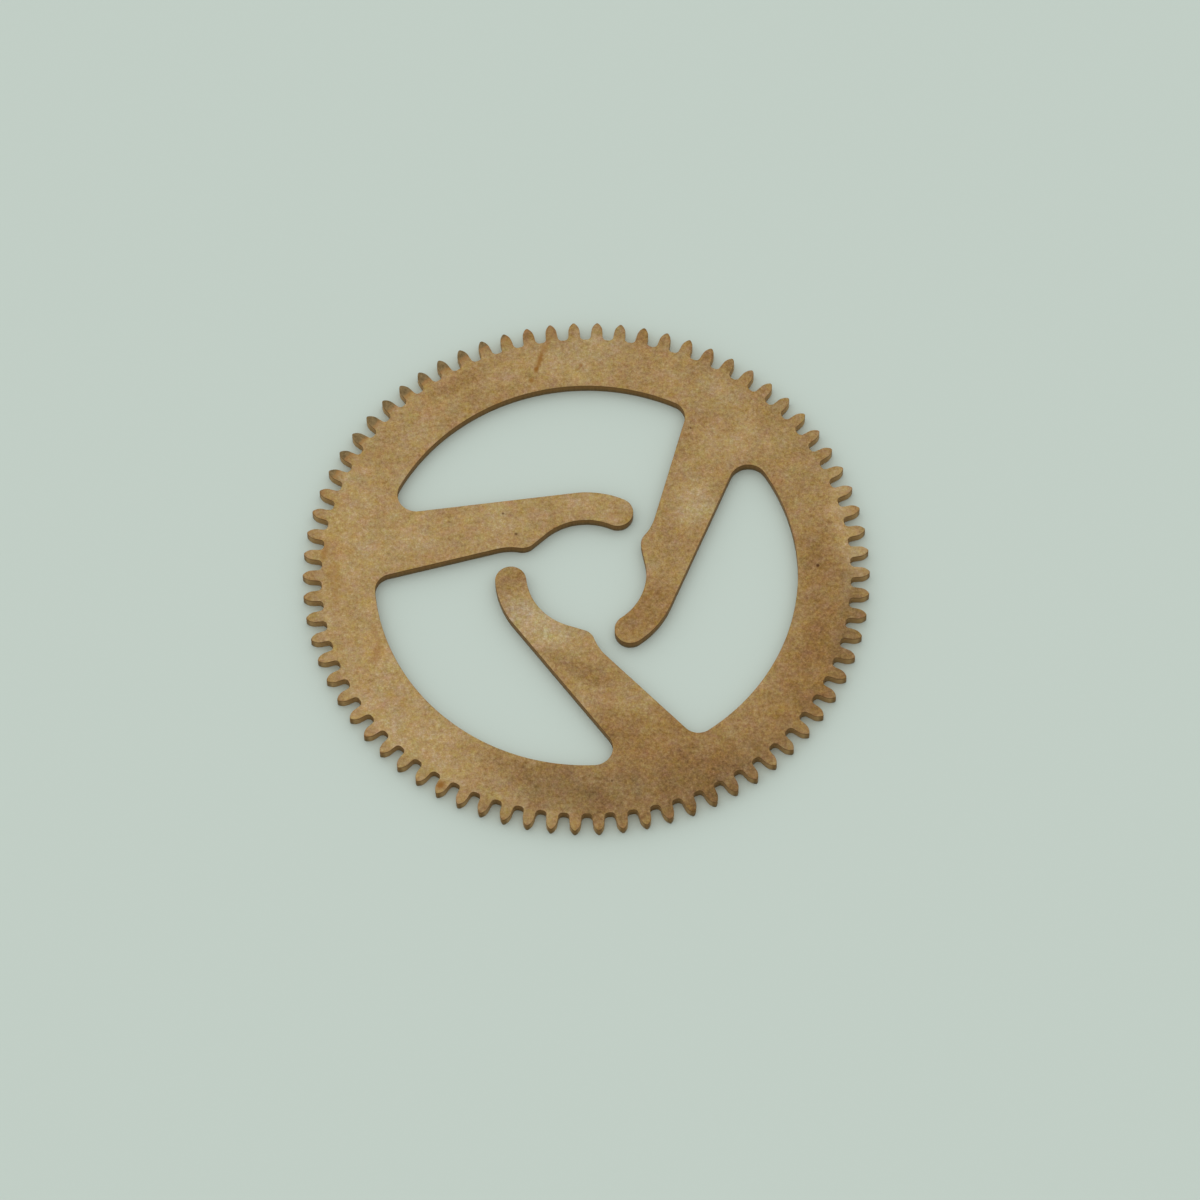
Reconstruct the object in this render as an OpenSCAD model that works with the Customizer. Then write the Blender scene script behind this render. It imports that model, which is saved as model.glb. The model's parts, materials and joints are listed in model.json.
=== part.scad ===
// Driving wheel of a watch's minute work: one flat stamping with three sprung arms
// that clip onto a round seat. All lengths are in millimetres.
// The wheel lies flat with its underside at z = 0 and its axis on the Z axis.

/* [Teeth] */
// Number of teeth
teeth = 74; // [68:1:80]
// Diameter of the pitch circle, which is the number of teeth times the module
pitch_d = 8.88; // [8.4:0.01:9.6]
// Height of a tooth above the pitch circle, in modules
addendum_f = 1.33; // [1.1:0.01:1.5]
// Depth of a tooth space below the pitch circle, in modules
dedendum_f = 1.23; // [1:0.01:1.5]
// Thickness of a tooth at the pitch circle, in modules
tooth_w_f = 1.53; // [1.4:0.01:1.6]
// Thickness of a tooth at the foot of its flanks, in modules
foot_w_f = 1.62; // [1.6:0.01:1.7]
// Radius of the rounding between a flank and the bottom of the space, in modules
foot_round_f = 0.58; // [0.3:0.01:0.6]
// Radius of the rounded tip of a tooth, in modules
point_f = 0.26; // [0.15:0.01:0.4]
// Turn of the first tooth from the X axis, in degrees
tooth_turn = 4.06; // [0:0.01:4.8]

/* [Rim] */
// Thickness of the sheet
sheet_t = 0.18; // [0.1:0.01:0.3]
// Width of the ring between the bottom of the teeth and the opening inside it
rim_w = 0.859; // [0.7:0.001:1]

/* [Grip] */
// Diameter of the round seat that the three fingers close on
grip_d = 1.95; // [1.8:0.01:2.1]
// Width of a finger, measured along the radius
finger_w = 0.508; // [0.4:0.002:0.54]
// Angle of the centre of a finger's round end, from the square position on its arm
finger_tip_a = 58.2; // [50:0.1:70]

/* [Arms] */
// Turn of the first arm from the X axis, in degrees
arm_turn = 6.26; // [0:0.01:12]
// Angle by which an arm tapers from its root to its nose
arm_taper = 7.3; // [5:0.1:9]
// Distance of the front edge of an arm from the wheel's axis
arm_front = 0.803; // [0.7:0.001:0.9]
// Radius of the hollow where the back edge runs into the rim
back_fillet = 0.31; // [0.2:0.005:0.45]
// Radius of the hollow where the front edge runs into the rim
front_fillet = 0.285; // [0.2:0.005:0.4]

/* [Nose] */
// Angle of the ramp that leads from the seat to the nose
ramp_a = 34.7; // [30:0.1:40]
// Length of the ramp
ramp_l = 0.29; // [0.2:0.01:0.36]
// Radius of the nose
nose_r = 0.25; // [0.18:0.002:0.3]
// Radius of the shallow hollow between the nose and the front edge
hollow_r = 0.83; // [0.6:0.01:1]

/* [Bending point] */
// Distance of an arm's bending point from the inner edge of the rim, along the arm
bend_in = 0.985; // [0.9:0.005:1.1]
// Radius of the round seam about the bending point
seam_r = 0.55; // [0.52:0.01:0.6]

/* [Hidden] */
$fn = 180;
arms = 3;
bronze = [0.64, 0.545, 0.37];

pitch_r = pitch_d / 2;
tooth_module = pitch_d / teeth;
addendum = addendum_f * tooth_module;
tooth_w = tooth_w_f * tooth_module;
foot_round = foot_round_f * tooth_module;
root_r = pitch_r - dedendum_f * tooth_module;
window_r = root_r - rim_w;
grip_r = grip_d / 2;
finger_r = grip_r + finger_w;

// Outlines of one piece run this far into each other, so that they join
join = 0.002;

// Direction and left-hand normal of a line that runs at angle a
function along(a) = [cos(a), sin(a)];
function across(a) = [-sin(a), cos(a)];
function turned(p, a) = p.x * along(a) + p.y * across(a);
// Points of an arc about c, from angle a0 to a1
function arc(c, r, a0, a1, steps) =
    [for (i = [0:steps]) c + r * along(a0 + (a1 - a0) * i / steps)];

// A tooth points along X. Above the pitch circle each side is one arc, and the two
// run into a small round tip. Below it the flanks are straight and nearly parallel.
point_r = point_f * tooth_module;
point_x = pitch_r + addendum - point_r;
arch_r = (pow(addendum - point_r, 2) + pow(tooth_w / 2, 2) - pow(point_r, 2)) / (tooth_w - 2 * point_r);
arch_a = atan2(addendum - point_r, arch_r - tooth_w / 2);
arch_steps = 4;
foot_steps = 3;
// Centre of the rounding between the root circle and the foot of a flank
foot_y = foot_w_f * tooth_module / 2 + foot_round;
foot_x = sqrt(pow(root_r + foot_round, 2) - pow(foot_y, 2));
foot_a = atan2(foot_y, foot_x);
// One side of a tooth, from the root circle to its tip, and the other side back down
tooth_up = concat(
    arc([foot_x, -foot_y], foot_round, 180 - foot_a, 90, foot_steps),
    arc([pitch_r, arch_r - tooth_w / 2], arch_r, -90, arch_a - 90, arch_steps),
    arc([point_x, 0], point_r, (arch_a - 90) / 2, 0, 1));
tooth_down = [for (i = [len(tooth_up) - 2:-1:0]) [tooth_up[i].x, -tooth_up[i].y]];
tooth = concat(tooth_up, tooth_down);
toothed_edge = [for (k = [0:teeth - 1], p = tooth) turned(p, tooth_turn + k * 360 / teeth)];

// An arm is drawn with its straight back edge along X. That edge runs into the outer
// side of the finger, which is concentric with the wheel.
// Hollows where the back and the front edge run into the rim
edge_reach = window_r + join;
back_c = [-sqrt(pow(edge_reach - back_fillet, 2) - pow(finger_r + back_fillet, 2)),
    finger_r + back_fillet];
front_off = arm_front - front_fillet;
front_c = front_off * across(arm_taper)
    - sqrt(pow(edge_reach - front_fillet, 2) - pow(front_off, 2)) * along(arm_taper);
back_a = atan2(back_c.y, back_c.x);
front_a = 180 + atan2(-front_c.y, -front_c.x);
// Round end of the finger
tip_round = (finger_w + join) / 2;
tip_c = (finger_r - tip_round) * along(finger_tip_a);
// Nose at the end of the ramp, and the hollow that touches the nose and the front edge
nose_c = (grip_r - join + nose_r) * across(ramp_a) + ramp_l * along(180 + ramp_a);
hollow_off = arm_front - hollow_r;
nose_off = nose_c * across(arm_taper);
hollow_x = nose_c * along(arm_taper)
    - sqrt(pow(nose_r + hollow_r, 2) - pow(nose_off - hollow_off, 2));
hollow_c = hollow_off * across(arm_taper) + hollow_x * along(arm_taper);
hollow_a = atan2(nose_c.y - hollow_c.y, nose_c.x - hollow_c.x);
// Depth at which the outline ends inside the rim
root_mid = (window_r + root_r) / 2;

arm_edge = concat(
    [root_mid * along(back_a)],
    arc(back_c, back_fillet, back_a, 270, 16),
    arc([0, 0], finger_r, 90, finger_tip_a, 12),
    arc(tip_c, tip_round, finger_tip_a, finger_tip_a - 180, 20),
    [grip_r / 2 * along(finger_tip_a), grip_r / 2 * across(ramp_a)],
    [(grip_r - join) * across(ramp_a)],
    arc(nose_c, nose_r, 270 + ramp_a, 180 + hollow_a, 8),
    arc(hollow_c, hollow_r, hollow_a, 90 + arm_taper, 6),
    arc(front_c, front_fillet, 90 + arm_taper, front_a, 16),
    [root_mid * along(front_a)]);

// Bending point, half way between the two edges of the arm
bend_x = window_r - bend_in;
front_y = (arm_front - bend_x * sin(arm_taper)) / cos(arm_taper);
bend_c = [-bend_x, (finger_r + front_y) / 2];
arm_l = bend_x + finger_r;

// The part of an arm's outline that turns about the bending point
module moving_zone() {
    translate(bend_c) {
        circle(r = seam_r);
        rotate(arm_taper / 2) translate([0, -arm_l / 2]) square(arm_l);
    }
}

module at_arm(i) {
    rotate(arm_turn + i * 360 / arms) children();
}

// Ring with the teeth outside and, inside, the three roots of the arms
module toothed_rim() {
    color(bronze) linear_extrude(sheet_t) difference() {
        polygon(toothed_edge);
        difference() {
            circle(r = window_r);
            for (i = [0:arms - 1]) at_arm(i) difference() {
                polygon(arm_edge);
                moving_zone();
            }
        }
    }
}

// One arm from its seam to the tip of its finger, with its share of the round seat
module spring_arm(i) {
    color(bronze) linear_extrude(sheet_t) at_arm(i) difference() {
        intersection() {
            polygon(arm_edge);
            moving_zone();
        }
        circle(r = grip_r);
    }
}

module spring_arm_1() { spring_arm(0); }
module spring_arm_2() { spring_arm(1); }
module spring_arm_3() { spring_arm(2); }

toothed_rim();
spring_arm_1();
spring_arm_2();
spring_arm_3();
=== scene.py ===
# %% [markdown]
# # The driving wheel of a watch, from a drawn outline to tarnished metal
#
# The real object is one flat stamping of spring bronze, 9.2 mm across and 0.18 mm thick. It has
# 74 teeth outside, and inside it three sprung arms whose curved fingers clip onto a round seat.
# A flat part like this has little form to show, so its looks rest on three things: a true
# outline, the edge that a press leaves on sheet metal, and the colour of old bronze. The lesson
# takes them in that order.

# %% [markdown]
# ## The frame
#
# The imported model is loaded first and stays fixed. It gives the places that the looks must keep
# to: the thickness of the sheet, the round seat that the fingers close on and the point about
# which each arm bends. Everything is drawn in millimetres, because Blender's mesh operators
# weld and fill more safely at that size, and each finished mesh is brought down to metres once.

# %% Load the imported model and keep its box
import json
import math

import bmesh
import bpy
from mathutils import Matrix, Quaternion, Vector


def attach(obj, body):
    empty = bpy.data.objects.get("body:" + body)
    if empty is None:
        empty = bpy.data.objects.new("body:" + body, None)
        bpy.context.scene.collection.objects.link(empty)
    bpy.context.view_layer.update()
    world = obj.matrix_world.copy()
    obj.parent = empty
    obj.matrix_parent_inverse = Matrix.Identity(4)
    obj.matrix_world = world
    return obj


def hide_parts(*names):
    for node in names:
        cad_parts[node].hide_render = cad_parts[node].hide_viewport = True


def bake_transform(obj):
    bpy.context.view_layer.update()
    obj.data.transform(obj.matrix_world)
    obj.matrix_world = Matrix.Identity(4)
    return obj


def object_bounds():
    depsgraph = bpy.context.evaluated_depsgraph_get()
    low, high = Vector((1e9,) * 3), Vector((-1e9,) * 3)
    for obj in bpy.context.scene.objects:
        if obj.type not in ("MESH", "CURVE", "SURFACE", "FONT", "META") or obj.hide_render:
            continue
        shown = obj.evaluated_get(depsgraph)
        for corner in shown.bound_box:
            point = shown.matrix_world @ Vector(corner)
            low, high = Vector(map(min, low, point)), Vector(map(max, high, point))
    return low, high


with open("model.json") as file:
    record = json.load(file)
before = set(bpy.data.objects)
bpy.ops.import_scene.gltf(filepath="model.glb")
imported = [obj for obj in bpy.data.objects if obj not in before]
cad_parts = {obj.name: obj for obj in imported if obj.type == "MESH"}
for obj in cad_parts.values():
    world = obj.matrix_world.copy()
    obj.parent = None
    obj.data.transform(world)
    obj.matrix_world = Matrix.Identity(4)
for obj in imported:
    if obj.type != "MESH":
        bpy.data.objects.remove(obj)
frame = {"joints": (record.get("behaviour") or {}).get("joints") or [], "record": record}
cad_low, cad_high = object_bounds()
MM = 0.001
AXIS = Vector((0.0, 0.0, 0.0))
sheet_t = cad_high.z / MM
mounts = {mount["name"]: mount for mount in frame["record"]["mounts"]}
seat_r = mounts["arm_grip"]["dims"]["r_mm"]
hinges = [Vector(joint["pos_m"]) / MM for joint in frame["joints"]]
print(f"sheet {sheet_t:.3f} mm thick, seat radius {seat_r:.3f} mm, {len(hinges)} arms")

# %% [markdown]
# ## The sizes
#
# A wheel maker works in modules, the pitch diameter divided by the number of teeth, and so do
# these sizes. The tooth is the watchmaker's kind: straight flanks below the pitch circle, and
# above it two arcs that lean together and meet in a small round tip. The arm's sizes are given
# with its straight back edge lying along X.

# %% Sizes in millimetres and degrees
teeth = 74
pitch_r = 4.44
module = 2 * pitch_r / teeth
addendum = 1.33 * module
root_r = pitch_r - 1.23 * module
tooth_w = 1.53 * module
foot_w = 1.62 * module
foot_round = 0.58 * module
point_round = 0.26 * module
tooth_turn = 4.06
tip_r = pitch_r + addendum
window_r = root_r - 0.859

arm_turn = 6.26
arm_step = 360 / len(hinges)
arm_taper = 7.3
arm_front = 0.803
finger_w = 0.508
finger_r = seat_r + finger_w
finger_tip_a = 58.2
back_fillet = 0.31
front_fillet = 0.285
ramp_a = 34.7
ramp_l = 0.29
nose_r = 0.25
hollow_r = 0.83
print(f"module {module:.3f} mm, tips at {tip_r:.3f} mm, window radius {window_r:.3f} mm")

# %% [markdown]
# ## A pen for outlines
#
# An outline made of lines and arcs can be drawn the way a fretsaw follows it. The pen holds one
# vertex. A straight stretch extrudes that vertex, and an arc spins it about a centre, so the
# operators make all the points and a tangent arc starts just where the last stretch ended.
# How many steps an arc needs follows from the error that is allowed between chord and arc.

# %% The pen
CHORD_ERROR = 0.0004
WELD = 0.0001


def toward(angle, reach):
    """The point at a distance from the origin in the direction of an angle in degrees."""
    return Vector((reach * math.cos(math.radians(angle)), reach * math.sin(math.radians(angle)), 0.0))


class Pen:
    """Draws an outline in a mesh with one vertex, turned about the axis by a number of degrees."""

    def __init__(self, sheet, start, turn=0.0):
        self.sheet = sheet
        self.turn = Matrix.Rotation(math.radians(turn), 3, "Z")
        self.tip = bmesh.ops.create_vert(sheet, co=self.turn @ start)["vert"][0]

    def line(self, end, pieces=1):
        """Extrudes the tip along a straight line, in a number of equal pieces."""
        stride = (self.turn @ end - self.tip.co) / pieces
        for _ in range(pieces):
            last = self.tip.co.copy()
            self.tip = bmesh.ops.extrude_vert_indiv(self.sheet, verts=[self.tip])["verts"][0]
            self.tip.co = last + stride

    def arc(self, centre, sweep):
        """Spins the tip about a centre through an angle, anticlockwise where it is positive."""
        radius = (self.tip.co - self.turn @ centre).length
        step = 2 * math.degrees(math.acos(1 - CHORD_ERROR / radius))
        swept = bmesh.ops.spin(
            self.sheet, geom=[self.tip], cent=self.turn @ centre, axis=(0, 0, 1),
            angle=math.radians(sweep), steps=max(2, math.ceil(abs(sweep) / step)))
        self.tip = swept["geom_last"][0]


arc_step = 2 * math.degrees(math.acos(1 - CHORD_ERROR))
print(f"an arc of 1 mm radius is drawn in steps of {arc_step:.1f} degrees")

# %% [markdown]
# ## The toothed edge
#
# One half of one tooth is drawn, from the middle of a tooth space to the tip. A mirror makes the
# other half and a spin makes the other 73 teeth. Drawing a single half is less work and keeps
# every tooth the same, which a row of hand-placed points would not. A plain circle just inside
# the teeth is drawn too. It parts the teeth from the ring when the faces are filled. The sheet
# also gets a layer of numbers, which will say to which piece each face belongs.

# %% Draw the toothed edge
band_r = root_r - 0.02


def draw_toothed_edge(sheet):
    half_pitch = 180 / teeth
    foot_y = foot_w / 2 + foot_round
    foot_x = math.sqrt((root_r + foot_round) ** 2 - foot_y ** 2)
    foot_a = math.degrees(math.atan2(foot_y, foot_x))
    rise = addendum - point_round
    arch_r = (rise ** 2 + (tooth_w / 2) ** 2 - point_round ** 2) / (tooth_w - 2 * point_round)
    arch_a = math.degrees(math.atan2(rise, arch_r - tooth_w / 2))
    pen = Pen(sheet, toward(-half_pitch, root_r))
    pen.arc(AXIS, half_pitch - foot_a)
    pen.arc(Vector((foot_x, -foot_y, 0)), foot_a - 90)
    pen.line(Vector((pitch_r, -tooth_w / 2, 0)))
    pen.arc(Vector((pitch_r, arch_r - tooth_w / 2, 0)), arch_a)
    pen.arc(Vector((tip_r - point_round, 0, 0)), 90 - arch_a)
    bmesh.ops.mirror(
        sheet, geom=sheet.verts[:] + sheet.edges[:], matrix=Matrix.Identity(4),
        merge_dist=WELD, axis="Y")
    bmesh.ops.rotate(
        sheet, cent=AXIS, matrix=Matrix.Rotation(math.radians(tooth_turn), 3, "Z"),
        verts=sheet.verts[:])
    bmesh.ops.spin(
        sheet, geom=sheet.verts[:] + sheet.edges[:], cent=AXIS, axis=(0, 0, 1),
        angle=math.radians(360 - 360 / teeth), steps=teeth - 1, use_duplicate=True)


def draw_band(sheet):
    bmesh.ops.create_circle(sheet, segments=2 * teeth, radius=band_r)


def outline(sheet, draw, *values):
    """Runs a drawing function, welds what it drew end to end and returns the new edges."""
    old_verts = set(sheet.verts)
    old_edges = set(sheet.edges)
    draw(sheet, *values)
    new_verts = [vert for vert in sheet.verts if vert not in old_verts]
    bmesh.ops.remove_doubles(sheet, verts=new_verts, dist=WELD)
    return [edge for edge in sheet.edges if edge not in old_edges]


sheet = bmesh.new()
share = sheet.faces.layers.int.new("share")
toothed = outline(sheet, draw_toothed_edge)
band = outline(sheet, draw_band)
print(f"toothed edge of {len(toothed)} edges, {len(toothed) // teeth} for each tooth")

# %% [markdown]
# ## The opening
#
# The opening inside the rim is one line that runs round all three arms. It is drawn in six
# stretches: three belong to the rim and three to the arms. They part at the point where an arm
# bends, because an arm has to move there, but the metal itself has no cut. First the centres of
# the arcs are worked out. Each follows from what the arc touches, such as two edges or a circle.

# %% Centres of the arcs of an arm
back_c = Vector((
    -math.sqrt((window_r - back_fillet) ** 2 - (finger_r + back_fillet) ** 2),
    finger_r + back_fillet, 0))
back_a = math.degrees(math.atan2(back_c.y, back_c.x))
front_off = arm_front - front_fillet
front_c = toward(90 + arm_taper, front_off) + toward(
    180 + arm_taper, math.sqrt((window_r - front_fillet) ** 2 - front_off ** 2))
front_a = 180 + math.degrees(math.atan2(-front_c.y, -front_c.x))
tip_c = toward(finger_tip_a, seat_r + finger_w / 2)
ramp_end = toward(90 + ramp_a, seat_r) + toward(180 + ramp_a, ramp_l)
nose_c = toward(90 + ramp_a, seat_r + nose_r) + toward(180 + ramp_a, ramp_l)
nose_off = nose_c.dot(toward(90 + arm_taper, 1))
hollow_off = arm_front - hollow_r
hollow_x = nose_c.dot(toward(arm_taper, 1)) - math.sqrt(
    (nose_r + hollow_r) ** 2 - (nose_off - hollow_off) ** 2)
hollow_c = toward(90 + arm_taper, hollow_off) + toward(arm_taper, hollow_x)
hollow_a = math.degrees(math.atan2(nose_c.y - hollow_c.y, nose_c.x - hollow_c.x))
print(f"the ramp leads from {seat_r:.3f} mm to {ramp_end.length:.3f} mm from the axis")

# %% Ends of the seam between rim and arm
taper = math.radians(arm_taper)
seam_x = (Matrix.Rotation(math.radians(-arm_turn), 3, "Z") @ hinges[0]).x
seam_back = Vector((seam_x, finger_r, 0))
seam_front = Vector((seam_x, (arm_front + seam_x * math.sin(taper)) / math.cos(taper), 0))
seam_w = (seam_back - seam_front).length
print(f"an arm bends {-seam_x:.3f} mm from the axis, where it is {seam_w:.3f} mm wide")


# %% Draw the rim's side of the opening
def draw_rim_side(sheet, turn):
    pen = Pen(sheet, toward(back_a, window_r), turn)
    pen.arc(back_c, 270 - back_a)
    pen.line(seam_back)
    pen.line(seam_front)
    pen.line(front_c + toward(90 + arm_taper, front_fillet))
    pen.arc(front_c, front_a - 90 - arm_taper)
    pen.arc(AXIS, back_a + arm_step - front_a)


def draw_opening(sheet):
    for number in range(len(hinges)):
        draw_rim_side(sheet, arm_turn + number * arm_step)


opening = outline(sheet, draw_opening)
print(f"the rim's side of the opening has {len(opening)} edges")

# %% [markdown]
# ## Filling the ring
#
# A flat face with a hole can't be one polygon, so triangle_fill does it, which only needs edges
# that close. The teeth are filled apart from the ring, with the plain circle between them, which
# keeps the triangles of 74 teeth small and even. All these faces get the number of the rim.

# %% Fill the teeth and the ring
RIM = 0


def give(faces, share, number):
    """Turns faces up and gives them a piece's number."""
    for face in faces:
        face[share] = number
        face.normal_update()
        if face.normal.z < 0:
            face.normal_flip()


def fill_ring(sheet, edges):
    made = bmesh.ops.triangle_fill(sheet, use_beauty=True, use_dissolve=False, edges=edges)["geom"]
    give([part for part in made if isinstance(part, bmesh.types.BMFace)], share, RIM)


fill_ring(sheet, toothed + band)
fill_ring(sheet, band + opening)
print(f"teeth and ring: {len(sheet.faces)} faces")

# %% [markdown]
# ## The arms
#
# An arm is a chain of curves that touch: back edge, outer side of the finger, round end, seat,
# ramp, nose, a shallow hollow and the front edge. It has no hole, so its outline is simply made
# one polygon. Its straight edges are drawn in short pieces, so that they have points along them.
# Welding the sheet joins arms and rim at the ends of their seams, so the sheet stays closed.

# %% Draw and fill the arms
back_pieces = 16
front_pieces = 10


def draw_arm(sheet, turn):
    pen = Pen(sheet, seam_back, turn)
    pen.line(Vector((0, finger_r, 0)), pieces=back_pieces)
    pen.arc(AXIS, finger_tip_a - 90)
    pen.arc(tip_c, -180)
    pen.arc(AXIS, 90 + ramp_a - finger_tip_a)
    pen.line(ramp_end)
    pen.arc(nose_c, hollow_a - 90 - ramp_a)
    pen.arc(hollow_c, 90 + arm_taper - hollow_a)
    pen.line(seam_front, pieces=front_pieces)
    pen.line(seam_back)


for number in range(len(hinges)):
    arm = outline(sheet, draw_arm, arm_turn + number * arm_step)
    give(bmesh.ops.contextual_create(sheet, geom=arm)["faces"], share, number + 1)
bmesh.ops.remove_doubles(sheet, verts=sheet.verts[:], dist=WELD)
print(f"flat sheet: {len(sheet.verts)} vertices, {len(sheet.faces)} faces, "
      f"{sum(edge.is_boundary for edge in sheet.edges)} edges of outline")

# %% [markdown]
# ## The pressed edge
#
# A press leaves three bands on the edge of a stamping. At the top the sheet is drawn down into
# a rounding, on this thin wheel only a hundredth of a millimetre wide. Under it the punch has
# wiped the wall smooth, and the lower part has torn, so it is rougher and leans slightly
# inwards. Bevelling would have to cope with a thousand triangles that end at the edge. Insetting
# the whole face in small steps gives clean rows instead, and it leaves the shared lines between
# rim and arms alone.

# %% Give the sheet its thickness and its edge
tear_z = 0.08
roll_w = 0.01
roll_h = 0.007
roll_steps = 3
tear_w = 0.001
foot_h = 0.004


def step_in(sheet, faces, inwards, outwards):
    """Insets a face region by one row, and moves it out along its normals."""
    bmesh.ops.inset_region(
        sheet, faces=faces, use_boundary=True, use_even_offset=True,
        thickness=inwards, depth=outwards)


lower = sheet.faces[:]
extruded = bmesh.ops.extrude_face_region(sheet, geom=lower, use_keep_orig=True)["geom"]
upper = [part for part in extruded if isinstance(part, bmesh.types.BMFace)]
upper_verts = [part for part in extruded if isinstance(part, bmesh.types.BMVert)]
lower_verts = list({vert for face in lower for vert in face.verts})
bmesh.ops.translate(sheet, vec=(0, 0, sheet_t - roll_h), verts=upper_verts)
bmesh.ops.translate(sheet, vec=(0, 0, tear_z), verts=lower_verts)
bmesh.ops.recalc_face_normals(sheet, faces=sheet.faces[:])
for step in range(roll_steps):
    start = math.pi / 2 * step / roll_steps
    end = math.pi / 2 * (step + 1) / roll_steps
    inwards = roll_w * (math.cos(start) - math.cos(end))
    outwards = roll_h * (math.sin(end) - math.sin(start))
    step_in(sheet, upper, inwards, outwards)
step_in(sheet, lower, tear_w, tear_z - foot_h)
step_in(sheet, lower, foot_h / 4, foot_h)
heights = [vert.co.z for vert in sheet.verts]
open_edges = sum(edge.is_boundary for edge in sheet.edges)
print(f"sheet now {max(heights) - min(heights):.3f} mm thick, open edges: {open_edges}")

# %% [markdown]
# ## Four pieces from one sheet
#
# The finished sheet is now parted into the pieces that the frame knows: a rigid rim and three
# arms. Each piece is a copy that keeps its own faces, and the small opening left at each shared
# line is closed. The two faces that meet there lie on each other inside the metal, so no joint
# shows. Large flat faces are shaded flat and the rounded rows smooth.

# %% Part the sheet into its pieces
SHARP = math.radians(38)
LEVEL = 0.99999


def cut_out(name, number):
    """Makes an object from the faces that carry a piece's number."""
    part = sheet.copy()
    layer = part.faces.layers.int["share"]
    bmesh.ops.delete(part, geom=[face for face in part.faces if face[layer] != number], context="FACES")
    bmesh.ops.holes_fill(part, edges=[edge for edge in part.edges if edge.is_boundary], sides=0)
    bmesh.ops.recalc_face_normals(part, faces=part.faces[:])
    for face in part.faces:
        face.smooth = abs(face.normal.z) < LEVEL
    for edge in part.edges:
        edge.smooth = edge.calc_face_angle(0) < SHARP
    bmesh.ops.scale(part, vec=(MM, MM, MM), verts=part.verts[:])
    mesh = bpy.data.meshes.new(name)
    part.to_mesh(mesh)
    part.free()
    piece = bpy.data.objects.new(name, mesh)
    bpy.context.scene.collection.objects.link(piece)
    return piece


rim = cut_out("bronze_rim", RIM)
arms = [cut_out(f"bronze_arm_{number}", number) for number in range(1, len(hinges) + 1)]
sheet.free()
for piece in [rim] + arms:
    print(f"{piece.name}: {len(piece.data.polygons)} faces")

# %% [markdown]
# ## Shader maths
#
# The finish is worked out from numbers that vary over the surface. Written as nodes, such sums
# are hard to read, so a small class wraps a socket and lets Python's own operators add the Math
# nodes. Every other node comes from one method, which takes the node's type, its settings and
# what goes into its sockets. Noise of two nearly equal sizes would show rays that run from the
# origin, where the two patterns meet again and again, so each noise is read at a place of its own.

# %% Colours as they show on a screen
def paint(red, green, blue):
    """A colour given as it shows on a screen, from 0 to 255, in the linear values that nodes take."""
    def linear(value):
        value = value / 255
        return value / 12.92 if value <= 0.04045 else ((value + 0.055) / 1.055) ** 2.4
    return (linear(red), linear(green), linear(blue), 1.0)


for shade, colour in {"pale": paint(170, 143, 98), "dark": paint(125, 98, 60)}.items():
    print(f"{shade} bronze in linear values:", [round(value, 3) for value in colour[:3]])


# %% Sockets with arithmetic
class Socket:
    """An output socket. Arithmetic with numbers and other sockets adds the Math nodes."""

    def __init__(self, finish, link):
        self.finish = finish
        self.link = link

    def math(self, operation, *values):
        return self.finish.node("ShaderNodeMath", {"operation": operation}, dict(enumerate(values)))

    def __add__(self, other):
        return self.math("ADD", self, other)

    def __sub__(self, other):
        return self.math("SUBTRACT", self, other)

    def __rsub__(self, other):
        return self.math("SUBTRACT", other, self)

    def __mul__(self, other):
        return self.math("MULTIPLY", self, other)

    __radd__ = __add__
    __rmul__ = __mul__

    def rising(self, start, end):
        """0 below start, 1 above end and a smooth slope between."""
        settings = {"interpolation_type": "SMOOTHSTEP"}
        if start < end:
            return self.finish.node(
                "ShaderNodeMapRange", settings, {"Value": self, "From Min": start, "From Max": end})
        return 1 - self.rising(end, start)


# %% Finishes, with one method for every node
class Finish:
    """A material or world, with one method for all its nodes."""

    def __init__(self, owner):
        self.owner = owner
        owner.use_nodes = True
        self.tree = owner.node_tree
        self.tree.nodes.clear()
        self.noises = 0

    def node(self, kind, settings, inputs, output=0):
        """Adds a node, makes its settings, feeds its inputs and returns one of its outputs."""
        node = self.tree.nodes.new(kind)
        for name, value in settings.items():
            if name == "stops":
                self.set_stops(node.color_ramp, value)
            else:
                setattr(node, name, value)
        for name, value in inputs.items():
            if isinstance(value, Socket):
                self.tree.links.new(value.link, node.inputs[name])
            else:
                node.inputs[name].default_value = value
        return Socket(self, node.outputs[output]) if node.outputs else None

    def set_stops(self, ramp, stops):
        """Gives a ramp its colours, each at its position from 0 to 1."""
        for _ in range(len(stops) - len(ramp.elements)):
            ramp.elements.new(0.5)
        for element, (position, colour) in zip(ramp.elements, stops):
            element.position = position
            element.color = colour

    def blend(self, factor, first, second, kind="MIX"):
        """Mixes two colours. The Mix node takes them as inputs 6 and 7, and output 2 is the result."""
        settings = {"data_type": "RGBA", "blend_type": kind}
        return self.node("ShaderNodeMix", settings, {0: factor, 6: first, 7: second}, 2)

    def noise(self, place, per_mm, detail, rough, output="Fac"):
        """Noise with a number of waves in a millimetre, from 0 to 1 and mostly near 0.5."""
        self.noises += 1
        apart = (37 * self.noises, 23 * self.noises, 0)
        own_place = self.node("ShaderNodeVectorMath", {"operation": "ADD"}, {0: place, 1: apart})
        return self.node(
            "ShaderNodeTexNoise", {}, output=output,
            inputs={"Vector": own_place, "Scale": per_mm, "Detail": detail, "Roughness": rough})
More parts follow.
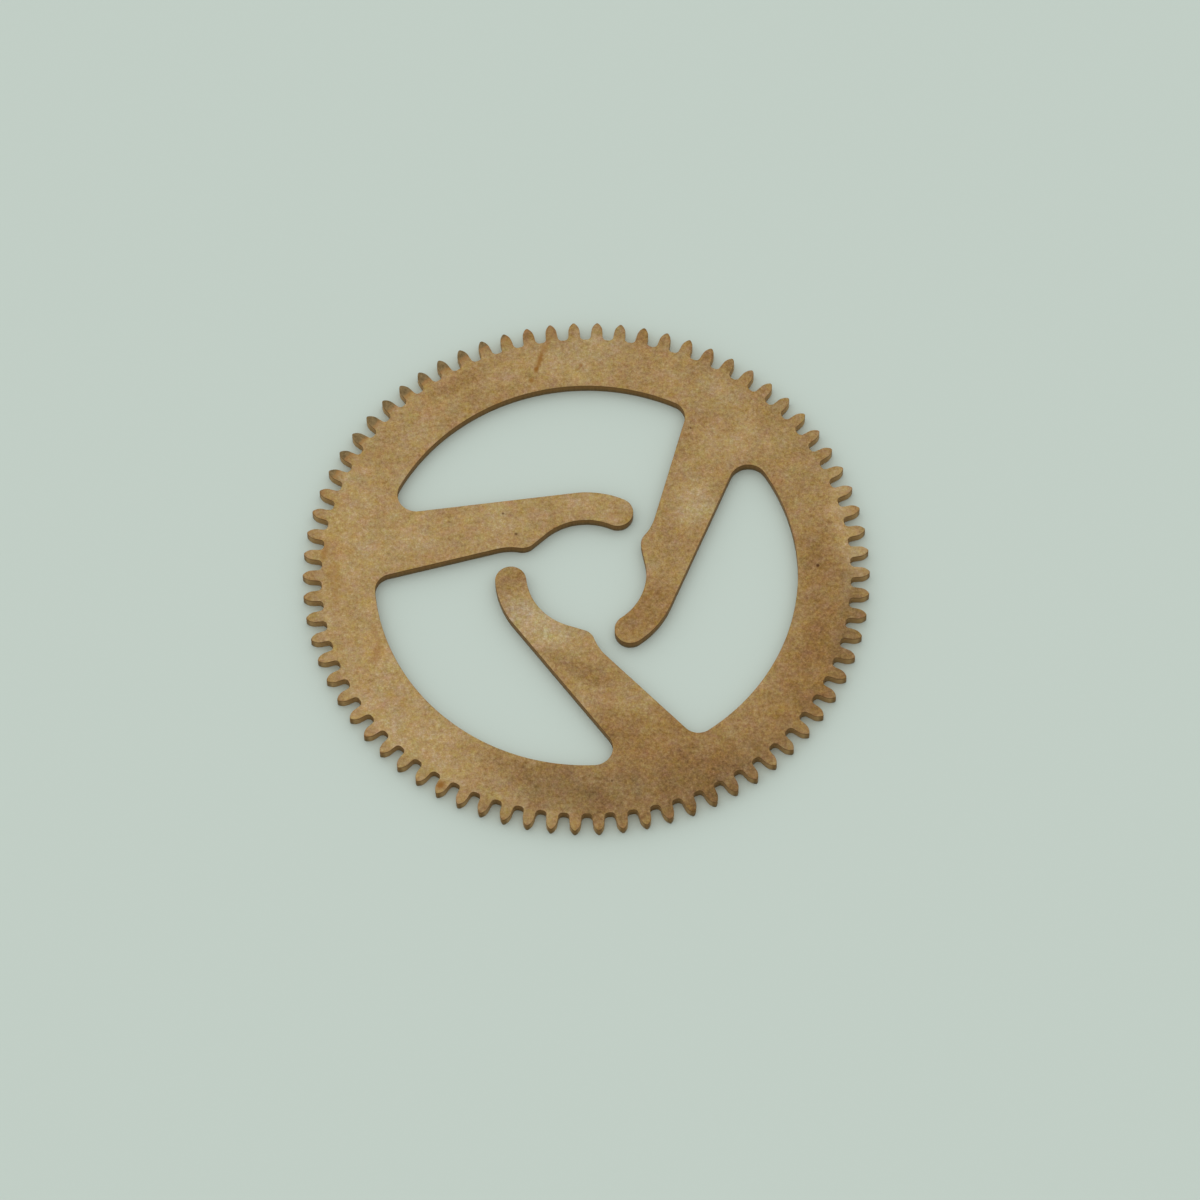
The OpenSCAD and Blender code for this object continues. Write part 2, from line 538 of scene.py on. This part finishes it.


# %% [markdown]
# ## Where the bronze has darkened
#
# Old bronze darkens in clouds. On this wheel the left side has kept a pale yellow, the lower
# right has gone a dark red-brown, and across the lower arm pale and dark bands follow each
# other. A cloud is a soft ellipse with a ragged outline. Each is given in millimetres
# from the axis, with its half length and half width, the direction of its length and how much
# lighter or darker it makes the metal. Other wide spots make it warmer or cooler instead, and
# the stains and pits are small spots of the same kind. The places, a few dozen, were judged and
# measured, and that suits one wheel: noise alone would put the dark metal anywhere.

# %% Clouds, stains and pits
CLOUDS = {
    "dark lower rim": ((0.45, -3.85), (2.0, 0.55), 0, -0.22),
    "dark left end of the lower rim": ((-1.5, -3.27), (0.5, 0.2), 156, -0.13),
    "dark spot of the lower rim": ((-0.55, -3.6), (0.6, 0.3), 0, -0.08),
    "dark tooth roots at the bottom": ((-0.1, -4.08), (0.42, 0.28), 0, -0.11),
    "dark lower right": ((2.5, -3.2), (1.7, 0.6), 40, -0.09),
    "dark spot at the lower right": ((2.5, -3.25), (0.5, 0.3), 30, -0.15),
    "dark rim below the right": ((3.65, -1.7), (1.2, 0.45), 68, -0.13),
    "dark root of the lower arm": ((1.05, -2.95), (0.85, 0.5), -5, -0.13),
    "dark left side of that root": ((0.45, -2.7), (0.35, 0.3), 0, -0.11),
    "dark right rim": ((3.7, 0.0), (0.9, 0.3), 88, -0.1),
    "dark teeth at the right": ((4.3, -1.1), (1.0, 0.2), 78, -0.12),
    "pale teeth at the right": ((4.3, 0.7), (1.1, 0.2), 100, 0.2),
    "pale lower finger": ((-0.9, -0.8), (0.62, 0.42), -42, 0.19),
    "pale bend of the lower arm": ((-0.35, -1.2), (0.4, 0.25), -15, 0.04),
    "dark end of the lower finger": ((-1.25, -0.02), (0.35, 0.26), 90, -0.12),
    "dark band on the lower arm": ((-0.05, -1.65), (0.65, 0.24), -20, -0.16),
    "pale band on the lower arm": ((0.5, -2.2), (0.75, 0.2), -10, 0.03),
    "pale middle of the right arm": ((1.75, 1.2), (0.35, 0.45), 0, 0.28),
    "dark right finger": ((0.95, -0.75), (0.65, 0.35), 52, -0.16),
    "pale top of the rim": ((0.1, 3.95), (0.9, 0.45), 0, 0.11),
    "pale rim right of the top": ((2.2, 3.2), (0.6, 0.4), 145, 0.15),
    "dark rim left of the top": ((-1.65, 3.22), (0.6, 0.22), 32, -0.1),
    "dark tooth roots left of the top": ((-1.98, 3.64), (0.6, 0.15), 30, -0.14),
    "pale left arm": ((-2.0, 0.9), (1.0, 0.4), 8, 0.08),
    "pale end of the left finger": ((0.3, 1.17), (0.45, 0.24), 175, 0.08),
    "pale root of the right arm": ((2.5, 2.3), (0.55, 0.45), 20, 0.13),
    "pale left rim": ((-3.8, -0.6), (3.2, 0.75), 92, 0.025),
    "pale lower left rim": ((-2.6, -3.05), (1.4, 0.5), 138, 0.06),
}
WARMTH = {
    "warm right rim": ((3.7, -0.3), (1.5, 0.35), 88, 0.16),
    "warm rim below the right": ((3.4, -2.0), (1.0, 0.36), 62, 0.34),
    "warm root of the lower arm": ((1.05, -2.95), (0.85, 0.5), 0, 0.36),
    "warm right finger": ((0.95, -0.75), (0.65, 0.35), 52, 0.35),
    "warm smear on the left rim": ((-4.0, 0.4), (0.9, 0.25), 88, 0.32),
    "warm left rim": ((-3.45, -1.35), (0.4, 0.25), 90, 0.42),
    "warm lower left rim": ((-2.6, -2.95), (0.8, 0.3), 130, 0.07),
    "warm rim at the upper left": ((-2.3, 3.42), (0.6, 0.25), 36, 0.18),
    "cool lower rim": ((0.1, -3.9), (1.6, 0.4), 0, -0.63),
    "cool rim at the upper right": ((2.2, 3.3), (0.6, 0.4), 136, -0.33),
    "cool lower right": ((2.7, -3.4), (0.9, 0.25), 38, -0.54),
    "cool teeth at the right": ((4.25, -0.8), (1.2, 0.2), 80, -0.69),
    "cool top of the rim": ((0.1, 4.15), (0.7, 0.4), 0, -0.46),
    "cool middle of the right arm": ((1.8, 1.2), (0.4, 0.4), 0, -0.53),
    "cool lower finger": ((-0.95, -0.75), (0.6, 0.4), -48, -0.65),
}
STAINS = {
    "streak on the top rim": ((-0.625, 4.09), (0.2, 0.055), 71, 0.42),
    "dark part of the streak": ((-0.712, 3.88), (0.17, 0.038), 74, 0.62),
    "dark end of the streak": ((-0.755, 3.755), (0.055, 0.036), 80, 0.6),
    "foot of the streak": ((-0.828, 3.545), (0.05, 0.04), 62, 0.75),
    "last trace of the streak": ((-0.875, 3.42), (0.07, 0.03), 72, 0.3),
    "spot on the top rim": ((-0.03, 3.79), (0.05, 0.035), 60, 0.65),
    "lower part of the spot": ((-0.08, 3.735), (0.045, 0.022), 15, 0.45),
    "streak on the left rim": ((-3.41, -1.38), (0.2, 0.07), 77, 0.42),
    "upper part of that streak": ((-3.44, -0.97), (0.22, 0.05), 109, 0.28),
    "smear on the left rim": ((-4.08, -0.05), (0.55, 0.09), 90, 0.3),
    "rust on a tooth": ((-2.4, -3.74), (0.07, 0.055), 30, 0.95),
    "stain at the left tooth spaces": ((-4.24, 0.5), (0.18, 0.06), 80, 0.45),
}
PITS = {
    "right rim": ((3.76, 0.07), (0.028, 0.028), 0, 1.0),
    "left arm": ((-1.335, 1.12), (0.018, 0.018), 0, 0.75),
    "nose of the left arm": ((-1.128, 0.744), (0.024, 0.024), 0, 0.75),
    "right arm": ((1.75, 2.62), (0.016, 0.016), 0, 0.75),
    "lower rim": ((0.35, -3.72), (0.018, 0.018), 0, 0.75),
}
print(f"{len(CLOUDS)} clouds, {len(WARMTH)} warm or cool spots, {len(STAINS)} stains and {len(PITS)} pits")

# %% [markdown]
# ## Places and soft spots
#
# All four pieces share one material on Object coordinates, so the grain runs on from the rim
# into the arms. Everything in it follows from where a point lies: its height in the sheet tells
# face from wall, and its distance from the axis tells ring from teeth. A spot is a Mapping node
# that turns an ellipse into a circle of radius 1, and the distance from its centre then gives a
# soft border. It is far deeper than the sheet, so that the height makes no difference to it.
# Moving the place about with noise first makes the border ragged.

# %% Places on the wheel
bronze = Finish(bpy.data.materials.new("tarnished_bronze"))
object_place = bronze.node("ShaderNodeTexCoord", {}, {}, "Object")
place = bronze.node("ShaderNodeVectorMath", {"operation": "SCALE"}, {0: object_place, "Scale": 1 / MM})
height = bronze.node("ShaderNodeSeparateXYZ", {}, {0: place}, "Z")
sideways = bronze.node("ShaderNodeSeparateXYZ", {}, {0: place}, "X")
away = bronze.node("ShaderNodeSeparateXYZ", {}, {0: place}, "Y")
flat_place = bronze.node("ShaderNodeVectorMath", {"operation": "MULTIPLY"}, {0: place, 1: (1, 1, 0)})
radius = bronze.node("ShaderNodeVectorMath", {"operation": "LENGTH"}, {0: flat_place}, "Value")
bearing = bronze.node("ShaderNodeMath", {"operation": "ARCTAN2"}, {0: away, 1: sideways})
print(f"{len(bronze.tree.nodes)} nodes tell where a point lies")


# %% Soft spots with ragged outlines
CLOUD_BORDER = 0.55
STAIN_BORDER = 0.7
SPOT_DEPTH = 1000


def soft_spots(place, spots, border):
    """The sum of ellipses with a soft border, each times its strength."""
    total = 0.0
    for centre, half, turn, strength in spots.values():
        inside = bronze.node(
            "ShaderNodeMapping", {"vector_type": "TEXTURE"}, {
                "Vector": place, "Location": (*centre, 0),
                "Rotation": (0, 0, math.radians(turn)), "Scale": (*half, SPOT_DEPTH)})
        reach = bronze.node("ShaderNodeVectorMath", {"operation": "LENGTH"}, {0: inside}, "Value")
        total = reach.rising(1 + border, 1 - border) * strength + total
    return total


def ragged(place, per_mm, shift):
    """The same place, moved about by noise by up to about half of a shift in millimetres."""
    wander = bronze.noise(place, per_mm, detail=3, rough=0.6, output="Color")
    centred = bronze.node(
        "ShaderNodeVectorMath", {"operation": "SUBTRACT"}, {0: wander, 1: (0.5, 0.5, 0.5)})
    scaled = bronze.node("ShaderNodeVectorMath", {"operation": "SCALE"}, {0: centred, "Scale": shift})
    return bronze.node("ShaderNodeVectorMath", {"operation": "ADD"}, {0: place, 1: scaled})


print(f"a cloud fades out from {1 - CLOUD_BORDER:.2f} to {1 + CLOUD_BORDER:.2f} of its half width")

# %% [markdown]
# ## The tone of the face
#
# The tone runs from 0 for the darkest metal to 1 for the palest. It starts as a faint slope over
# the wheel, and the clouds, a slow drift, a mottle and a speckle are added to it. Together they
# are about equally strong from a millimetre down to a few hundredths, as the grain of the real
# metal is. The teeth are darkened except at the right, and their tips most of all: this is painted
# shade, for the light that the teeth lose where their faces slope off towards the tips.
# A ramp from dark brown to pale yellow turns the tone into a colour.

# %% Tone and colour of the face
middle_tone = 0.546
darker_to_right = 0.016
darker_away = 0.006
# Painted shade: how much darker the teeth are made, and their tips more
teeth_painted_shade = 0.1
tips_painted_shade = 0.12

cloudy_place = ragged(place, per_mm=0.9, shift=0.7)
slope = middle_tone - sideways * darker_to_right - away * darker_away
drift = bronze.noise(place, per_mm=0.7, detail=2, rough=0.6) - 0.5
mottle = bronze.noise(place, per_mm=1.2, detail=6, rough=0.92) - 0.5
speckle = bronze.noise(place, per_mm=17, detail=2, rough=0.9) - 0.5
clouds = soft_spots(cloudy_place, CLOUDS, CLOUD_BORDER)
tone = slope + clouds + drift * 0.1 + mottle * 1.1 + speckle

# Painted shade on the teeth everywhere but at the right, strongest at the rounded tips
painted_shade_side = sideways.rising(3.6, 2.4)
on_teeth = radius.rising(root_r, pitch_r)
on_tips = radius.rising(tip_r - 0.05, tip_r - 0.01)
tone = tone - painted_shade_side * (on_teeth * teeth_painted_shade + on_tips * tips_painted_shade)
bronze_stops = [
    (0.0, paint(99, 72, 41)), (0.3, paint(132, 102, 62)), (0.55, paint(153, 126, 82)),
    (0.75, paint(168, 143, 99)), (1.0, paint(188, 168, 128))]
colour = bronze.node("ShaderNodeValToRGB", {"stops": bronze_stops}, {0: tone})
print(f"tone of the face: {len(bronze.tree.nodes)} nodes so far")

# %% [markdown]
# ## Hue, stains and pits
#
# Tarnish shimmers a little in hue, so red, green and blue are multiplied by noises of their own,
# the blue most of all. The warm and cool spots are added to that tint. Stains and pits lie on
# top of the metal, so they are blended over its colour, and only on the face: the height in the
# sheet keeps them off the walls.

# %% Hue, stains and pits
hue_swing = (0.45, 0.38, 1.7)
hue_base = (0.775, 0.81, 0.16)
fully_warm = (0.06, -0.02, -0.16)

hue = bronze.noise(place, per_mm=4.2, detail=4, rough=0.95, output="Color")
tint = bronze.node(
    "ShaderNodeVectorMath", {"operation": "MULTIPLY_ADD"}, {0: hue, 1: hue_swing, 2: hue_base})
warmth = soft_spots(cloudy_place, WARMTH, CLOUD_BORDER)
warm = bronze.node("ShaderNodeVectorMath", {"operation": "SCALE"}, {0: fully_warm, "Scale": warmth})
tint = bronze.node("ShaderNodeVectorMath", {"operation": "ADD"}, {0: tint, 1: warm})
colour = bronze.blend(1.0, colour, tint, "MULTIPLY")

on_face = height.rising(0.1, 0.14)
stained = soft_spots(ragged(place, per_mm=6, shift=0.08), STAINS, STAIN_BORDER)
colour = bronze.blend(stained * on_face, colour, paint(133, 91, 40))
pitted = soft_spots(place, PITS, CLOUD_BORDER)
colour = bronze.blend(pitted * on_face, colour, paint(78, 50, 26))
print(f"hue, stains and pits: {len(bronze.tree.nodes)} nodes so far")

# %% [markdown]
# ## Olive tips, painted shade
#
# On the upper left the tips of the teeth are painted brown and then olive grey. This is painted
# shade: there the tips slope off towards a darker part of the surroundings and reflect it. The
# shade reaches further down the teeth in the middle of that stretch than at its two ends, its
# edge frays with the mottle, and mottle and speckle show in its tone. The bearing from the axis
# says where it begins and ends.

# %% Painted olive shade on the tips
# Painted shade: brown and then olive grey on the upper-left tips, for the darker surroundings they reflect
olive_shade_begins = bearing.rising(math.radians(86), math.radians(100))
olive_shade_ends = bearing.rising(math.radians(178), math.radians(168))
deep_shade_begins = bearing.rising(math.radians(96), math.radians(122))
deep_shade_ends = bearing.rising(math.radians(166), math.radians(146))
frayed = radius + mottle * 0.3 - (1 - deep_shade_begins * deep_shade_ends) * 0.2
olive = frayed.rising(root_r + 0.02, pitch_r + 0.03) * olive_shade_begins * olive_shade_ends
colour = bronze.blend(olive.rising(0.0, 0.5) * 0.6, colour, paint(146, 108, 64))
olive_shade_colour = bronze.blend(0.5 + mottle * 1.5 + speckle * 3, paint(86, 74, 48), paint(126, 109, 76))
colour = bronze.blend(olive.rising(0.4, 1.0) * 0.85, colour, olive_shade_colour)
print(f"olive tips: {len(bronze.tree.nodes)} nodes so far")

# %% [markdown]
# ## The pressed wall
#
# Seen from the side the sheet shows a brown line under its rounding, then the wiped band and
# then the torn one, which is greener and darker. The press has left faint upright scratches,
# which are a noise drawn out along the height. The flanks of the teeth are painted brighter, a
# painted reflection of the lit floor between the teeth.

# %% Colour of the wall
wall_begins = 0.001
wall_full = 0.004
tear_fade = 0.02
brown_line_h = 0.03

wall = height.rising(sheet_t - wall_begins, sheet_t - wall_full) * height.rising(wall_begins, wall_full)
upright_place = bronze.node("ShaderNodeVectorMath", {"operation": "MULTIPLY"}, {0: place, 1: (1, 1, 0.08)})
scratch = bronze.noise(upright_place, per_mm=26, detail=3, rough=0.6)
scratched = scratch.rising(0.3, 0.7)
wiped_colour = bronze.blend(scratched, paint(134, 98, 51), paint(146, 108, 58))
torn_colour = bronze.blend(scratched, paint(120, 94, 53), paint(136, 106, 63))
torn = height.rising(tear_z + tear_fade, tear_z - tear_fade)
wall_colour = bronze.blend(torn, wiped_colour, torn_colour)
# Painted reflection: the tooth flanks are painted brighter for the lit floor between the teeth
flank_painted_reflection = radius.rising(root_r - 0.03, root_r + 0.06) * radius.rising(tip_r - 0.01, tip_r - 0.07)
wall_colour = bronze.blend(flank_painted_reflection, wall_colour, paint(184, 149, 98))
brown_line = height.rising(sheet_t - brown_line_h, sheet_t - brown_line_h / 2)
wall_colour = bronze.blend(brown_line * 0.7, wall_colour, paint(104, 76, 42))
colour = bronze.blend(wall, colour, wall_colour)
print(f"wall: {len(bronze.tree.nodes)} nodes so far")

# %% [markdown]
# ## The metal itself
#
# Old bronze is still a metal, so it is nearly fully metallic and takes most of its tone from
# what it reflects. Its tarnish makes it satin rather than bright, a little duller where the
# mottle is high and on the walls. The relief is only a fine grain and the scratches, so a Bump
# node is enough for it.

# %% Surface of the bronze
grain_h = 0.0006
scratch_h = 0.0015
grain = bronze.noise(place, per_mm=24, detail=3, rough=0.7)
relief = grain * grain_h + scratch * wall * scratch_h
normal = bronze.node("ShaderNodeBump", {}, {"Strength": 1.0, "Distance": MM, "Height": relief})
dullness = 0.44 + mottle * 0.25 + wall * 0.12
metal = bronze.node("ShaderNodeBsdfPrincipled", {}, {
    "Base Color": colour, "Metallic": 0.92 - wall * 0.1, "Roughness": dullness, "Normal": normal})
bronze.node("ShaderNodeOutputMaterial", {}, {"Surface": metal})
print(f"bronze finish: {len(bronze.tree.nodes)} nodes")

# %% [markdown]
# ## Onto the frame
#
# The rim is rigid and rides on its body. A real arm bends along its length, over the slim part
# between the bending point and the nose, and the finger beyond that is stiff. Here each arm only
# has its place baked into its vertices. Each piece stands for one node of the imported model,
# which is hidden, and takes the bronze finish.


def on_frame(piece, node):
    piece.data.materials.append(bronze.owner)
    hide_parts(node)


on_frame(rim, "toothed_rim")
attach(rim, "rim")
for number, (piece, joint) in enumerate(zip(arms, frame["joints"])):
    on_frame(piece, f"spring_arm_{number + 1}")
    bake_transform(piece)

# %% [markdown]
# ## The floor and the light
#
# The wheel lies on a plain, pale, slightly green sheet. The light in the photograph comes from
# nearly everywhere: the shadow is only a soft darkening beside the edge of the metal, and no
# lamp shows in the face. So the light here is a dome. It is clearly stronger from behind the
# wheel than from in front, and a little stronger overhead and on the left. The camera sees the
# floor's own colour where it looks past the floor.

# %% Lay the floor and light the scene
floor_r = 500
floor_gap = 0.002
floor_paint = paint(193, 206, 197)
dome_level = 0.89
dome_lean = (-0.14, 0.38, 0.15)

disc = bmesh.new()
bmesh.ops.create_circle(disc, cap_ends=True, segments=96, radius=floor_r * MM)
bmesh.ops.translate(disc, vec=(0, 0, -floor_gap * MM), verts=disc.verts[:])
floor_mesh = bpy.data.meshes.new("pale_sheet")
disc.to_mesh(floor_mesh)
disc.free()
floor = bpy.data.objects.new("pale_sheet", floor_mesh)
bpy.context.scene.collection.objects.link(floor)

card = Finish(bpy.data.materials.new("pale_card"))
card_surface = card.node("ShaderNodeBsdfPrincipled", {}, {"Base Color": floor_paint, "Roughness": 0.9})
card.node("ShaderNodeOutputMaterial", {}, {"Surface": card_surface})
floor_mesh.materials.append(card.owner)

studio = Finish(bpy.data.worlds.new("soft_studio"))
bpy.context.scene.world = studio.owner


def light_dome(studio):
    way = studio.node("ShaderNodeTexCoord", {}, {}, "Object")
    lean = studio.node(
        "ShaderNodeVectorMath", {"operation": "DOT_PRODUCT"}, {0: way, 1: dome_lean}, "Value")
    glow = studio.node("ShaderNodeBackground", {}, {"Color": (1, 1, 1, 1), "Strength": dome_level + lean})
    seen = studio.node("ShaderNodeBackground", {}, {"Color": floor_paint, "Strength": 1.0})
    direct = studio.node("ShaderNodeLightPath", {}, {}, "Is Camera Ray")
    both = studio.node("ShaderNodeMixShader", {}, {0: direct, 1: glow, 2: seen})
    studio.node("ShaderNodeOutputWorld", {}, {"Surface": both})


light_dome(studio)
print(f"floor of {2 * floor_r / 1000:.1f} m and a dome of {len(studio.tree.nodes)} nodes")

# %% [markdown]
# ## The camera
#
# The camera's place was solved from the photograph. The tips of the teeth, the circle of the
# opening and the seat circle all lie in one plane, and how that plane foreshortens gives the
# elevation and the distance. The lens is long, as it is for a small part on a copy stand.

# %% Set up the camera
camera_aim = Vector((0.2156, -0.481, sheet_t))
camera_elevation = 63.72
camera_heading = 0.157
camera_roll = -0.942
camera_distance = 159.5
camera_lens = 295.44

lens = bpy.data.cameras.new("copy_stand_camera")
lens.lens = camera_lens
lens.sensor_width = 36
lens.clip_start = 0.01
lens.clip_end = 10
camera = bpy.data.objects.new("copy_stand_camera", lens)
bpy.context.scene.collection.objects.link(camera)
sight = toward(90 - camera_heading, math.cos(math.radians(camera_elevation)))
sight.z = -math.sin(math.radians(camera_elevation))
camera.location = (camera_aim - sight * camera_distance) * MM
camera.rotation_mode = "QUATERNION"
roll = Quaternion((0, 0, 1), math.radians(camera_roll))
camera.rotation_quaternion = sight.to_track_quat("-Z", "Y") @ roll
bpy.context.scene.camera = camera
bpy.context.scene.view_settings.view_transform = "Standard"
print(f"camera {camera_distance} mm from the wheel at {camera_elevation} degrees, lens {camera_lens} mm")
